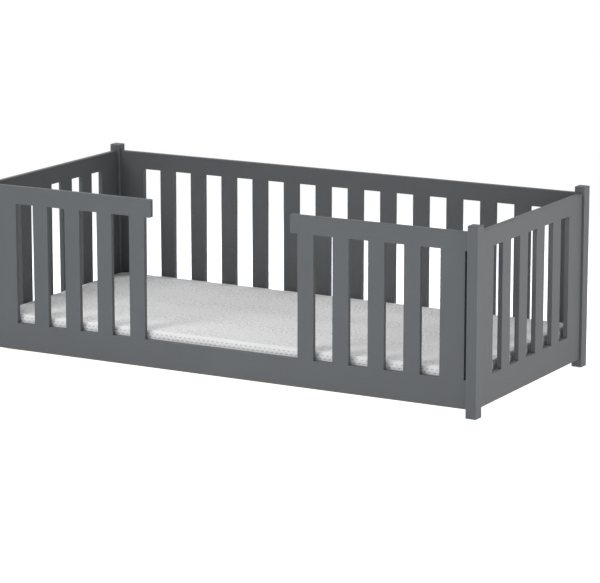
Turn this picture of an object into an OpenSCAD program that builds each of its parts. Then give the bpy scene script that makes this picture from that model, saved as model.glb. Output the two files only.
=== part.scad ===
// Low floor bed for a child: four square posts, slatted panels on all sides and an
// entrance between two guards in the front. Lengths are in millimetres.
// X runs along the bed, the front is at -Y and Z is up.
// The origin is on the floor, in the middle of the bed.

/* [Mattress] */
// Length of the mattress
mattress_l = 1600; // [1400:10:2000]
// Width of the mattress
mattress_w = 700; // [620:10:900]
// Thickness of the mattress at its border
mattress_t = 70; // [50:1:110]
// Height of the crown above the border
mattress_crown = 5; // [2:0.5:12]
// Radius of the mattress corners in plan
mattress_corner_r = 32; // [20:1:60]
// Radius of the rounded edge between the border and the top
mattress_edge_r = 11; // [6:1:16]
// How far the border pulls in halfway between the corners
mattress_draw = 3; // [1:0.5:6]
// Room left between the mattress and each end panel
mattress_gap_x = 12; // [11:1:25]
// Room left between the mattress and each long panel
mattress_gap_y = 5; // [2:1:12]

/* [Frame heights] */
// Floor to the underside of the rails
foot_h = 24; // [18:1:60]
// Height of the bottom rails
low_rail_h = 84; // [72:1:120]
// Height of the gaps between the slats
slot_h = 368; // [250:1:440]
// Height of the top rails and the guard rails
top_rail_h = 54; // [50:1:80]
// How far the posts stand above the top rails
post_rise = 20; // [10:1:40]

/* [Boards and posts] */
// Side of the square posts
post_w = 35; // [34:1:45]
// Thickness of all panel boards
board_t = 15; // [15:1:18]
// How far the panels lie back from the outer faces of the posts
panel_inset = 10; // [7:1:12]
// Rounding of the edges of the posts
post_ease = 3.5; // [1.5:0.5:5]
// Rounding of the outer edges of the rails
rail_ease = 2.5; // [1:0.5:4]
// Rounding of the upright edges of the slats and stiles
slat_ease = 1.5; // [0.5:0.5:3]

/* [Panels] */
// Post to first gap on every panel
corner_w = 87; // [70:1:110]
// Width of the slats in the back panel and the guards
long_slat_w = 52; // [40:1:60]
// Number of slats in the back panel
back_slats = 12; // [9:1:13]
// Width of the slats in the end panels
end_slat_w = 54; // [40:1:64]
// Number of slats in each end panel
end_slats = 4; // [3:1:5]

/* [Front guards] */
// Number of slats in each guard
guard_slats = 4; // [2:1:5]
// Slot between the guard's end stile and the post
guard_slot = 10; // [6:1:20]
// How far the guard rail runs past its last slat
guard_lap = 24; // [12:1:40]
// Rounding of the free corners of the guard rail, seen from the front
guard_corner_r = 4; // [2:0.5:10]

/* [Slat tenons] */
// Thickness of the tenons
tenon_t = 7; // [5:0.5:8]
// Length of the tenons
tenon_l = 10; // [7:0.5:11]
// Shoulder at each side of a tenon
tenon_shoulder = 6; // [4:0.5:10]
// Glue gap on each side of a tenon
tenon_side_gap = 0.1; // [0.05:0.05:0.3]
// Room for glue past the end of a tenon
tenon_end_gap = 0.5; // [0.2:0.1:1]

/* [Dowels] */
// Diameter of the wooden dowels
dowel_d = 8; // [6:0.5:8]
// Length of the wooden dowels
dowel_l = 24; // [20:1:26]
// Glue gap around a dowel
dowel_gap = 0.05; // [0.03:0.01:0.1]
// Room past each end of a dowel
dowel_end_gap = 0.5; // [0.3:0.1:1]
// Wood left between a dowel and a mortise
dowel_wall = 1.5; // [1:0.1:3]
// Top rail's upper edge to the dowel below it
dowel_top_edge = 10; // [8:0.5:11]

/* [Cam fittings] */
// Diameter of the cam
cam_d = 15; // [14:0.5:16]
// Height of the cam
cam_h = 11.8; // [11.5:0.1:12.2]
// End of the rail to the centre of the cam
cam_setback = 24; // [20:1:34]
// Gap around the cam and under it
cam_gap = 0.1; // [0.05:0.05:0.2]
// Diameter of the bolt's shaft
bolt_d = 6; // [5:0.5:6.5]
// Diameter of the bolt's head, held by the cam
bolt_head_d = 6.5; // [6:0.5:7]
// Diameter of the bolt's neck behind its head
bolt_neck_d = 4; // [3:0.5:4.5]
// Length of the bolt's neck
bolt_neck_l = 3; // [2:0.5:4]
// Length of the bolt's head
bolt_head_l = 3; // [2:0.5:4]
// Diameter of the bolt's thread in the post
bolt_thread_d = 5; // [4:0.5:5.5]
// Length of the bolt's thread in the post
bolt_thread_l = 11; // [9:1:13]
// Room around the bolt in the rail and the cam
bolt_gap = 0.5; // [0.3:0.1:0.8]
// Diameter of the cover cap
cap_d = 18; // [17:0.5:20]
// Thickness of the cover cap
cap_t = 1; // [0.8:0.1:1.2]
// Gap around the cover cap
cap_gap = 0.1; // [0.05:0.05:0.2]

/* [Base] */
// Depth of the ledgers, from the rail inwards
ledger_w = 20; // [18:1:30]
// Height of the ledgers
ledger_h = 20; // [18:1:26]
// Rail's underside to the ledger's underside
ledger_lift = 2; // [0:1:8]
// Room left between a ledger and each post
ledger_gap = 2; // [1:0.5:10]
// Width of the base slats
base_slat_w = 70; // [50:1:80]
// Thickness of the base slats
base_slat_t = 15; // [12:1:18]
// Number of base slats
base_slats = 14; // [10:1:15]
// Room left between a base slat and each long panel
base_gap_y = 5; // [2:1:8]
// Ledger's end to the first base slat
base_start = 10; // [5:1:30]
// Width of the webbing straps
strap_w = 30; // [20:1:50]
// Thickness of the webbing straps
strap_t = 1; // [0.8:0.1:2]
// Distance between the centre lines of the straps
strap_spread = 400; // [200:10:500]

/* [Screws] */
// Diameter of the screws' shanks
screw_d = 4; // [3:0.5:4.5]
// Diameter of the screws' countersunk heads
screw_head_d = 8; // [7:0.5:9]
// Height of the screws' heads
screw_head_h = 2.6; // [2:0.1:3]
// Length of the ledger screws
ledger_screw_l = 30; // [28:1:32]
// Length of the base slat screws
base_screw_l = 25; // [22:1:28]
// Gap around a screw in its hole
screw_gap = 0.05; // [0.03:0.01:0.1]
// Room past the point of a screw
screw_end_gap = 0.5; // [0.3:0.1:1]
// Base slats from one ledger screw to the next
screw_step = 3; // [2:1:4]

/* [Hidden] */
$fn = 48;
soft_gap = 0.3;
back_ids = [for (i = [1:back_slats]) i];
guard_ids = [for (i = [1:guard_slats]) i];
end_ids = [for (i = [1:end_slats]) i];
function numbered(name, ids) = [for (i = ids) str(name, "_", i)];

paint = [0.42, 0.425, 0.43];
pine = [0.86, 0.73, 0.53];
beech = [0.80, 0.62, 0.42];
zinc = [0.72, 0.73, 0.75];
webbing = [0.90, 0.90, 0.88];
ticking = [0.88, 0.88, 0.87];

// The whole bed is set out from the mattress.
panel_depth = panel_inset + board_t;
inner_l = mattress_l + 2 * mattress_gap_x;
inner_w = mattress_w + 2 * mattress_gap_y;
bed_l = inner_l + 2 * panel_depth;
bed_w = inner_w + 2 * panel_depth;
long_rail_l = bed_l - 2 * post_w;
end_rail_l = bed_w - 2 * post_w;
panel_axis = panel_inset + board_t / 2;
panel_x = bed_l / 2 - panel_axis;
panel_y = bed_w / 2 - panel_axis;

low_rail_z = foot_h;
slot_z = low_rail_z + low_rail_h;
top_rail_z = slot_z + slot_h;
post_h = top_rail_z + top_rail_h + post_rise;

long_slot_w = (long_rail_l - 2 * corner_w - back_slats * long_slat_w) / (back_slats + 1);
end_slot_w = (end_rail_l - 2 * corner_w - end_slats * end_slat_w) / (end_slats + 1);
guard_stile_w = corner_w - guard_slot;
guard_rail_l = corner_w + guard_slats * (long_slot_w + long_slat_w) + guard_lap;

// Joint heights: the cam in the middle of a rail, dowels one or two steps from it.
tenon_depth = tenon_l + tenon_end_gap;
low_edge = tenon_depth + dowel_d / 2 + dowel_wall;
low_step = (low_rail_h / 2 - low_edge) / 2;
top_step = (top_rail_h / 2 - dowel_top_edge) / 2;
low_mid = low_rail_z + low_rail_h / 2;
top_mid = top_rail_z + top_rail_h / 2;
cam_heights = [low_mid, top_mid];
long_dowel_heights = [low_mid - 2 * low_step, low_mid + 2 * low_step, top_mid + 2 * top_step];
end_dowel_heights = [low_mid - low_step, low_mid + low_step, top_mid - top_step, top_mid + top_step];
dowel_bore_r = dowel_d / 2 + dowel_gap;
dowel_bore_l = dowel_l / 2 + dowel_end_gap;

ledger_z = low_rail_z + ledger_lift;
base_z = ledger_z + ledger_h;
ledger_l = long_rail_l - 2 * ledger_gap;
base_slat_l = inner_w - 2 * base_gap_y;
base_pitch = (ledger_l - 2 * base_start - base_slat_w) / (base_slats - 1);
mattress_z = base_z + base_slat_t + soft_gap;
base_screw_y = inner_w / 2 - ledger_w / 2 - base_gap_y / 2;
ledger_screw_z = ledger_z + ledger_h / 2;

// Places of the members along a panel, from the panel's middle.
function back_slat_x(i) =
    -long_rail_l / 2 + corner_w + i * long_slot_w + (i - 0.5) * long_slat_w;
function guard_slat_x(i) =
    long_rail_l / 2 - corner_w - i * long_slot_w - (i - 0.5) * long_slat_w;
function end_slat_x(i) =
    -end_rail_l / 2 + corner_w + i * end_slot_w + (i - 0.5) * end_slat_w;
function stile_x(rail_l, w, slot) = rail_l / 2 - slot - w / 2;
function base_slat_x(i) = (i - (base_slats + 1) / 2) * base_pitch;
function base_gap_x(i) = (base_slat_x(i) + base_slat_x(i + 1)) / 2;
ledger_screw_ids = [for (i = [1:screw_step:base_slats - 1]) i];

// Each member is [place along the panel, width].
long_stile = [stile_x(long_rail_l, corner_w, 0), corner_w];
end_stile = [stile_x(end_rail_l, corner_w, 0), corner_w];
guard_stile = [stile_x(long_rail_l, guard_stile_w, guard_slot), guard_stile_w];
guard_members = concat([guard_stile], [for (i = guard_ids) [guard_slat_x(i), long_slat_w]]);
function both_ways(members) = concat(members, [for (m = members) [-m[0], m[1]]]);
back_members = concat(both_ways([long_stile]), [for (i = back_ids) [back_slat_x(i), long_slat_w]]);
end_members = concat(both_ways([end_stile]), [for (i = end_ids) [end_slat_x(i), end_slat_w]]);

// Mattress outline: a rounded rectangle whose sides pull in between the corners.
corner_steps = 6;
side_steps_x = 9;
side_steps_y = 5;
function mix(a, b, t) = a + (b - a) * t;
function corner_arc(cx, cy, r, from) =
    [for (k = [0:corner_steps]) let (a = from + 90 * k / corner_steps)
        [cx + r * cos(a), cy + r * sin(a)]];
function side_run(a, b, steps, pull) =
    [for (k = [1:steps - 1]) let (t = k / steps, s = sin(180 * t))
        [mix(a[0], b[0], t) + pull[0] * s, mix(a[1], b[1], t) + pull[1] * s]];
function outline(inset) =
    let (hx = mattress_l / 2 - inset, hy = mattress_w / 2 - inset,
         r = max(mattress_corner_r - inset, 1), x = hx - r, y = hy - r, d = mattress_draw)
    concat(corner_arc(x, -y, r, -90), side_run([hx, -y], [hx, y], side_steps_y, [-d, 0]),
           corner_arc(x, y, r, 0), side_run([x, hy], [-x, hy], side_steps_x, [0, -d]),
           corner_arc(-x, y, r, 90), side_run([-hx, y], [-hx, -y], side_steps_y, [d, 0]),
           corner_arc(-x, -y, r, 180), side_run([-x, -hy], [x, -hy], side_steps_x, [0, d]));
function ring(points, z, scale = 1) = [for (p = points) [p[0] * scale, p[1] * scale, z]];

// Upright cylinder along X or along Y, started at the origin.
module rod_x(r, l) { rotate([0, 90, 0]) cylinder(r = r, h = l); }
module rod_y(r, l) { rotate([-90, 0, 0]) cylinder(r = r, h = l); }

// Rectangle centred on the origin, with its left corners and right corners rounded.
module eased_rect(w, h, left, right) {
    translate([-w / 2 + left, -h / 2]) square([w - left - right, h]);
    for (side = [[-1, left], [1, right]]) if (side[1] > 0) {
        x = side[0] * (w / 2 - side[1]);
        for (y = [-1, 1]) translate([x, y * (h / 2 - side[1])]) circle(r = side[1]);
        translate([x - side[1], -h / 2 + side[1]]) square([2 * side[1], h - 2 * side[1]]);
    }
}

// Puts a panel's local frame in place: X along the panel, +Y towards the bed's inside.
module in_front() { translate([0, -panel_y, 0]) children(); }
module in_back() { mirror([0, 1, 0]) in_front() children(); }
module at_right() { translate([panel_x, 0, 0]) rotate([0, 0, 90]) children(); }
module at_left() { mirror([1, 0, 0]) at_right() children(); }
module mirror_if(flip) { mirror([flip ? 1 : 0, 0, 0]) children(); }

// Corner post in the front right corner, bored for the rails that meet it.
module post() {
    color(paint) difference() {
        translate([bed_l / 2 - post_w / 2, -bed_w / 2 + post_w / 2, 0]) post_block();
        for (z = long_dowel_heights)
            translate([long_rail_l / 2, -panel_y, z]) rod_x(dowel_bore_r, dowel_bore_l);
        for (z = cam_heights)
            translate([long_rail_l / 2, -panel_y, z])
                rod_x(bolt_thread_d / 2 + screw_gap, bolt_thread_l + screw_end_gap);
        for (z = end_dowel_heights)
            translate([panel_x, -end_rail_l / 2 - dowel_bore_l, z]) rod_y(dowel_bore_r, dowel_bore_l);
    }
}

// Square stick with every edge rounded: what three rounded prisms have in common.
module post_block() {
    intersection() {
        linear_extrude(post_h) eased_rect(post_w, post_w, post_ease, post_ease);
        translate([0, post_w / 2, post_h / 2]) rotate([90, 0, 0])
            linear_extrude(post_w) eased_rect(post_w, post_h, post_ease, post_ease);
        translate([-post_w / 2, 0, post_h / 2]) rotate([90, 0, 90])
            linear_extrude(post_w) eased_rect(post_w, post_h, post_ease, post_ease);
    }
}

// Rail stock along X between x0 and x1. Its edges away from the slats are rounded.
module rail_stock(x0, x1, z, h, top) {
    translate([x0, 0, z + h / 2]) rotate([90, 0, 90]) linear_extrude(x1 - x0)
        rotate([0, 0, 90])
            eased_rect(h, board_t, top ? 0 : rail_ease, top ? rail_ease : 0);
}

// Mortises for the members' tenons, cut up into a top rail or down into a bottom rail.
module mortises(members, top) {
    z = top ? top_rail_z - 1 : slot_z - tenon_depth;
    for (m = members) {
        w = m[1] - 2 * tenon_shoulder + 2 * tenon_side_gap;
        t = tenon_t + 2 * tenon_side_gap;
        translate([m[0] - w / 2, -t / 2, z]) cube([w, t, tenon_depth + 1]);
    }
}

// Bores in the end of a rail, at x = end, for the dowels.
module dowel_bores(end, heights) {
    for (z = heights) translate([end - dowel_bore_l, 0, z]) rod_x(dowel_bore_r, dowel_bore_l + 1);
}

// Pocket for the cam and its cap in the inner face, and the bolt's bore from the rail's end.
module cam_bores(end, z) {
    translate([end - cam_setback, 0, z]) {
        rod_x(bolt_head_d / 2 + bolt_gap, cam_setback + 1);
        translate([0, board_t / 2 - cap_t - cam_h - cam_gap, 0])
            rod_y(cam_d / 2 + cam_gap, cam_h + cap_t + cam_gap + 1);
        translate([0, board_t / 2 - cap_t, 0]) rod_y(cap_d / 2 + cap_gap, cap_t + 1);
    }
}

function between(heights, lo, hi) = [for (z = heights) if (z > lo && z < hi) z];
function low_only(heights) = between(heights, low_rail_z, slot_z);
function top_only(heights) = between(heights, top_rail_z, post_h);

// Bottom rail of a long panel, joined to a post at both ends.
module long_bottom_rail(members) {
    color(paint) difference() {
        rail_stock(-long_rail_l / 2, long_rail_l / 2, low_rail_z, low_rail_h, false);
        mortises(members, false);
        for (flip = [false, true]) mirror_if(flip) {
            dowel_bores(long_rail_l / 2, low_only(long_dowel_heights));
            cam_bores(long_rail_l / 2, low_mid);
        }
        ledger_screw_pilots();
    }
}

module back_top_rail() {
    color(paint) in_back() difference() {
        rail_stock(-long_rail_l / 2, long_rail_l / 2, top_rail_z, top_rail_h, true);
        mortises(back_members, true);
        for (flip = [false, true]) mirror_if(flip) {
            dowel_bores(long_rail_l / 2, top_only(long_dowel_heights));
            cam_bores(long_rail_l / 2, top_mid);
        }
    }
}

module back_bottom_rail() { in_back() long_bottom_rail(back_members); }
module front_bottom_rail() { in_front() long_bottom_rail(both_ways(guard_members)); }

// Guard rail of the right guard: joined to its post, free at the entrance.
module guard_rail(flip) {
    free = long_rail_l / 2 - guard_rail_l;
    spare = 20;
    color(paint) mirror_if(flip) in_front() difference() {
        intersection() {
            rail_stock(free, long_rail_l / 2, top_rail_z, top_rail_h, true);
            translate([free + (guard_rail_l + spare) / 2, board_t / 2, top_mid]) rotate([90, 0, 0])
                linear_extrude(board_t)
                    eased_rect(guard_rail_l + spare, top_rail_h, guard_corner_r, 0);
            translate([free + (guard_rail_l + spare) / 2, 0, top_rail_z]) linear_extrude(top_rail_h)
                eased_rect(guard_rail_l + spare, board_t, rail_ease, 0);
        }
        mortises(guard_members, true);
        dowel_bores(long_rail_l / 2, top_only(long_dowel_heights));
        cam_bores(long_rail_l / 2, top_mid);
    }
}

module end_rail(top) {
    z = top ? top_rail_z : low_rail_z;
    h = top ? top_rail_h : low_rail_h;
    color(paint) difference() {
        rail_stock(-end_rail_l / 2, end_rail_l / 2, z, h, top);
        mortises(end_members, top);
        for (flip = [false, true]) mirror_if(flip)
            dowel_bores(end_rail_l / 2, top ? top_only(end_dowel_heights) : low_only(end_dowel_heights));
    }
}

// Upright member with a stub tenon at each end. Its edges at the gaps are rounded.
module member(m, left = slat_ease, right = slat_ease) {
    w = m[1] - 2 * tenon_shoulder;
    color(paint) translate([m[0], 0, 0]) {
        translate([0, 0, slot_z]) linear_extrude(slot_h) eased_rect(m[1], board_t, left, right);
        translate([-w / 2, -tenon_t / 2, slot_z - tenon_l])
            cube([w, tenon_t, slot_h + 2 * tenon_l]);
    }
}

module back_stile(flip) { mirror_if(flip) in_back() member(long_stile, slat_ease, 0); }
module back_slat(i) { in_back() member([back_slat_x(i), long_slat_w]); }
module guard_member(m, flip) { mirror_if(flip) in_front() member(m); }
module end_stile_at(back) { mirror_if(!back) member(end_stile, slat_ease, 0); }
module end_slat(i) { member([end_slat_x(i), end_slat_w]); }

// Screws: the head's top is at the origin and the point is towards -Z.
module screw(l) {
    translate([0, 0, -screw_head_h])
        cylinder(r1 = screw_d / 2, r2 = screw_head_d / 2, h = screw_head_h);
    translate([0, 0, -l]) cylinder(r = screw_d / 2, h = l - screw_head_h / 2);
}
module screw_hole(l) {
    translate([0, 0, -screw_head_h]) cylinder(
        r1 = screw_d / 2 + screw_gap, r2 = screw_head_d / 2 + screw_gap, h = screw_head_h);
    translate([0, 0, -l - screw_end_gap])
        cylinder(r = screw_d / 2 + screw_gap, h = l + screw_end_gap - screw_head_h / 2);
}

// Places of the ledger screws in the local frame of a long panel, heads on the ledger's face.
module at_ledger_screws() {
    for (i = ledger_screw_ids)
        translate([base_gap_x(i), board_t / 2 + ledger_w, ledger_screw_z]) rotate([-90, 0, 0])
            children();
}
module ledger_screw_pilots() {
    at_ledger_screws() screw_hole(ledger_screw_l);
}

// Places of the base slat screws, heads in the slats' top faces.
module at_base_screws(sides = [-1, 1]) {
    for (i = [1:base_slats], side = sides)
        translate([base_slat_x(i), side * base_screw_y, base_z + base_slat_t]) children();
}

module ledger() {
    color(pine) difference() {
        in_front() translate([-ledger_l / 2, board_t / 2, ledger_z])
            cube([ledger_l, ledger_w, ledger_h]);
        in_front() at_ledger_screws() screw_hole(ledger_screw_l);
        at_base_screws([-1]) screw_hole(base_screw_l);
    }
}

module front_ledger() { ledger(); }
module back_ledger() { mirror([0, 1, 0]) ledger(); }

module base_slats_group() {
    color(pine) for (i = [1:base_slats]) difference() {
        translate([base_slat_x(i) - base_slat_w / 2, -base_slat_l / 2, base_z])
            cube([base_slat_w, base_slat_l, base_slat_t]);
        for (side = [-1, 1])
            translate([base_slat_x(i), side * base_screw_y, base_z + base_slat_t])
                screw_hole(base_screw_l);
    }
}

// Two webbing straps, stapled under the base slats.
module base_straps() {
    l = 2 * base_slat_x(base_slats) + base_slat_w;
    color(webbing) for (side = [-1, 1])
        translate([-l / 2, side * strap_spread / 2 - strap_w / 2, base_z - strap_t])
            cube([l, strap_w, strap_t]);
}

module mattress() {
    r = mattress_edge_r;
    z0 = mattress_z;
    z1 = mattress_z + mattress_t;
    steps = 3;
    crown_steps = 5;
    foot = [for (k = [0:steps]) let (a = 90 * k / steps)
        ring(outline(r * (1 - sin(a))), z0 + r * (1 - cos(a)))];
    border = [ring(outline(mattress_draw / 2), mix(z0, z1, 0.5))];
    edge = [for (k = [0:steps]) let (a = 90 * k / steps)
        ring(outline(r * (1 - cos(a))), z1 - r * (1 - sin(a)))];
    top = [for (k = [1:crown_steps]) let (s = 1 - k / (crown_steps + 1))
        ring(outline(r), z1 + mattress_crown * (1 - s * s), s)];
    rings = concat(foot, border, edge, top);
    n = len(rings[0]);
    m = len(rings);
    points = concat([for (q = rings) each q], [[0, 0, z0], [0, 0, z1 + mattress_crown]]);
    walls = [for (j = [0:m - 2], i = [0:n - 1]) let (
        a = j * n + i, b = j * n + (i + 1) % n, c = a + n, d = b + n) each [[a, d, b], [a, c, d]]];
    ends = [for (i = [0:n - 1]) let (b = (i + 1) % n, t = (m - 1) * n)
        each [[i, b, m * n], [t + b, t + i, m * n + 1]]];
    color(ticking) polyhedron(points, concat(walls, ends));
}

// Dowels of one corner, in the front right corner of the bed.
module corner_dowels() {
    for (z = long_dowel_heights)
        translate([long_rail_l / 2 - dowel_l / 2, -panel_y, z]) rod_x(dowel_d / 2, dowel_l);
    for (z = end_dowel_heights)
        translate([panel_x, -end_rail_l / 2 - dowel_l / 2, z]) rod_y(dowel_d / 2, dowel_l);
}

// Cam bolt with its thread in the post and its head at the cam's centre.
module cam_bolt() {
    shaft = cam_setback - bolt_head_l / 2 - bolt_neck_l;
    translate([-cam_setback - bolt_head_l / 2, 0, 0]) rod_x(bolt_head_d / 2, bolt_head_l);
    translate([-cam_setback, 0, 0]) rod_x(bolt_neck_d / 2, cam_setback);
    translate([-shaft, 0, 0]) rod_x(bolt_d / 2, shaft);
    rod_x(bolt_thread_d / 2, bolt_thread_l);
}

// Cam with the bolt's channel and a cross slot for the screwdriver.
module cam() {
    cross = [cam_d * 0.6, 1.6];
    difference() {
        translate([0, board_t / 2 - cap_t - cam_h, 0]) rod_y(cam_d / 2, cam_h);
        translate([-bolt_head_l / 2 - bolt_gap, 0, 0]) rod_x(bolt_head_d / 2 + bolt_gap, cam_d);
        for (a = [0, 90]) translate([0, board_t / 2 - cap_t, 0]) rotate([0, a, 0])
            cube([cross[0], 3, cross[1]], center = true);
    }
}

module cam_cap() {
    translate([0, board_t / 2 - cap_t, 0]) rod_y(cap_d / 2, cap_t);
}

// Copies the front right corner's fittings to all four corners.
module at_corners() {
    for (x = [0, 1], y = [0, 1]) mirror([x, 0, 0]) mirror([0, y, 0]) children();
}
module at_cam_joints(setback) {
    at_corners() for (z = cam_heights)
        translate([long_rail_l / 2 - setback, -panel_y, z]) children();
}

module dowels() { color(beech) at_corners() corner_dowels(); }
module cam_bolts() { color(zinc) at_cam_joints(0) cam_bolt(); }
module cams() { color(zinc) at_cam_joints(cam_setback) cam(); }
module cam_caps() { color(paint) at_cam_joints(cam_setback) cam_cap(); }
module ledger_screws() {
    color(zinc) for (y = [0, 1]) mirror([0, y, 0]) in_front() at_ledger_screws() screw(ledger_screw_l);
}
module base_screws() { color(zinc) at_base_screws() screw(base_screw_l); }

mirror([1, 0, 0]) post();  // post_front_left
post();  // post_front_right
mirror([0, 1, 0]) mirror([1, 0, 0]) post();  // post_back_left
mirror([0, 1, 0]) post();  // post_back_right
back_top_rail();
back_bottom_rail();
back_stile(true);  // back_stile_left
back_stile(false);  // back_stile_right
for (i = back_ids) back_slat(i);
front_bottom_rail();
guard_rail(true);  // guard_rail_left
guard_rail(false);  // guard_rail_right
guard_member(guard_stile, true);  // guard_stile_left
guard_member(guard_stile, false);  // guard_stile_right
for (i = guard_ids) guard_member([guard_slat_x(i), long_slat_w], true);
for (i = guard_ids) guard_member([guard_slat_x(i), long_slat_w], false);
at_left() end_rail(true);  // left_top_rail
at_left() end_rail(false);  // left_bottom_rail
at_left() end_stile_at(false);  // left_stile_front
at_left() end_stile_at(true);  // left_stile_back
for (i = end_ids) at_left() end_slat(i);
at_right() end_rail(true);  // right_top_rail
at_right() end_rail(false);  // right_bottom_rail
at_right() end_stile_at(false);  // right_stile_front
at_right() end_stile_at(true);  // right_stile_back
for (i = end_ids) at_right() end_slat(i);
front_ledger();
back_ledger();
base_slats_group();  // base_slats
base_straps();
mattress();
dowels();
cam_bolts();
cams();
cam_caps();
ledger_screws();
base_screws();
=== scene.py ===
# %% [markdown]
# # A slatted kids bed and its thin mattress
#
# This lesson dresses a low bed for a child. The bed's wooden frame, its fittings and its base
# come in ready made, as exact solids at their real size, so the work here is the looks: the
# paint, the bare wood under it, the metal, and a soft mattress modelled from scratch. Lengths are
# in metres, the bed's middle stands on the floor at the origin, its front faces minus Y and up is
# plus Z.

import math

import bmesh
import bpy
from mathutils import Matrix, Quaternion, Vector
from mathutils.bvhtree import BVHTree


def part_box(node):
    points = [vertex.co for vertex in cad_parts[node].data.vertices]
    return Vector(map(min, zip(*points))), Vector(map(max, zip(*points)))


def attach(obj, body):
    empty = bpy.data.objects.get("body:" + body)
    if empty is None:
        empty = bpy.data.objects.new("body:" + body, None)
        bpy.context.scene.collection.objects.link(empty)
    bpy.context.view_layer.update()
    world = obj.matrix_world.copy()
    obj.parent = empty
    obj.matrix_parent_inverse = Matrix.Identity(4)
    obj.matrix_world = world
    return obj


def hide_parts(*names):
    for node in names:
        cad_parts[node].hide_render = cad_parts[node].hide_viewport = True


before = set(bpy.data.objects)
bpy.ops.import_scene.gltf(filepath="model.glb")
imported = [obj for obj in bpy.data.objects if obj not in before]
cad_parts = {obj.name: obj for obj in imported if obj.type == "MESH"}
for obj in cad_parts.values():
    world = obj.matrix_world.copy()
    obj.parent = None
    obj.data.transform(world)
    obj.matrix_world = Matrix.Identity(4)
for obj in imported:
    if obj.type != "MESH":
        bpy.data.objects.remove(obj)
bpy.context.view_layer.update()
MM = 0.001

# %% [markdown]
# ## The camera
#
# The bed is seen from the right, a little from above, through a long lens that keeps the rails
# nearly parallel. A long lens far away flattens the view. The same framing from close by would
# spread the near corner and shrink the far one. The place and the two angles came from matching
# the bed's corners, and the lens is given as the pixels that one radian fills in a picture 600
# pixels wide.

# %% Camera
FILM_WIDTH_MM = 36
PICTURE_WIDTH_PX = 600
PIXELS_PER_RADIAN = 2923
CAMERA_PLACE = Vector((4.269, -7.520, 2.040))
CAMERA_AZIMUTH = math.radians(29.23)
CAMERA_ELEVATION = math.radians(11.94)

lens = bpy.data.cameras.new("long_lens")
lens.sensor_width = FILM_WIDTH_MM
lens.lens = FILM_WIDTH_MM * PIXELS_PER_RADIAN / PICTURE_WIDTH_PX
camera = bpy.data.objects.new("camera", lens)
bpy.context.collection.objects.link(camera)
camera.location = CAMERA_PLACE
camera.rotation_euler = (math.radians(90) - CAMERA_ELEVATION, 0, CAMERA_AZIMUTH)
bpy.context.scene.camera = camera
print("lens:", round(lens.lens, 1), "mm, distance:", round(CAMERA_PLACE.length, 2), "m")

# %% [markdown]
# ## Helpers for node materials
#
# Every finish below is a graph of nodes on top of one Principled shader. Building a graph in code
# means the same few steps again and again: make a node, set its options, and feed its sockets.
# One helper does them. A socket that gets another socket is linked, and one that gets a number or
# a colour is set. The other helpers are short names for the steps that most finishes share.
# Patterns read Object coordinates, which are metres here, so a scale of 1000 repeats every
# millimetre. Noise seldom leaves the middle of its range, so a finish stretches a span of it, and
# a narrow span gives more contrast.

# %% Material helpers
WIDE_SPAN = (0.3, 0.7)
NARROW_SPAN = (0.35, 0.65)


def new_finish(name, **shader_values):
    """A material with its Principled shader, whose own sockets take the constant values."""
    finish = bpy.data.materials.new(name)
    finish.use_nodes = True
    surface = finish.node_tree.nodes["Principled BSDF"]
    for socket, value in shader_values.items():
        surface.inputs[socket.replace("_", " ")].default_value = value
    return finish, surface


def node(finish, kind, sockets=(), **options):
    """Adds a node of that kind. Its sockets are linked or set, by name or by number."""
    tree = finish.node_tree
    made = tree.nodes.new("ShaderNode" + kind)
    for option, value in options.items():
        setattr(made, option, value)
    for socket, value in dict(sockets).items():
        if isinstance(value, bpy.types.NodeSocket):
            tree.links.new(value, made.inputs[socket])
        else:
            made.inputs[socket].default_value = value
    return made


def feed(finish, surface, **links):
    """Links outputs to sockets of the Principled shader."""
    for socket, output in links.items():
        finish.node_tree.links.new(output, surface.inputs[socket.replace("_", " ")])


def coordinates(finish, scale=(1, 1, 1)):
    """Object coordinates, scaled along X, Y and Z. A scale under 1 draws a pattern out that way."""
    place = node(finish, "TexCoord").outputs["Object"]
    return node(finish, "Mapping", {"Vector": place, "Scale": scale}).outputs["Vector"]


def noise(finish, where, scale, detail=2.0, roughness=0.5):
    """Soft random values from 0 to 1."""
    sockets = {"Vector": where, "Scale": scale, "Detail": detail, "Roughness": roughness}
    return node(finish, "TexNoise", sockets).outputs["Fac"]


def maths(finish, operation, first, second=0.0):
    """One arithmetic step on two values."""
    return node(finish, "Math", {0: first, 1: second}, operation=operation).outputs[0]


def between(finish, value, low, high, to_low=0.0, to_high=1.0):
    """Stretches the part of a value from low to high over a new range, and stops at its ends."""
    sockets = {"Value": value, "From Min": low, "From Max": high}
    sockets |= {"To Min": to_low, "To Max": to_high}
    return node(finish, "MapRange", sockets).outputs["Result"]


def tint(finish, amount, first, second):
    """A colour from the first, at 0, to the second, at 1. Each is a socket or three numbers."""
    ends = [end if isinstance(end, bpy.types.NodeSocket) else (*end, 1) for end in (first, second)]
    # A Mix node set to colours takes them at its sockets 6 and 7, and gives the mix at output 2.
    return node(finish, "Mix", {0: amount, 6: ends[0], 7: ends[1]}, data_type="RGBA").outputs[2]


def relief(finish, height, depth, under=None):
    """Turns a height from 0 to 1 into a surface relief that many metres deep."""
    sockets = {"Height": height, "Distance": depth, "Strength": 1.0}
    if under is not None:
        sockets["Normal"] = under
    return node(finish, "Bump", sockets).outputs["Normal"]


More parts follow.
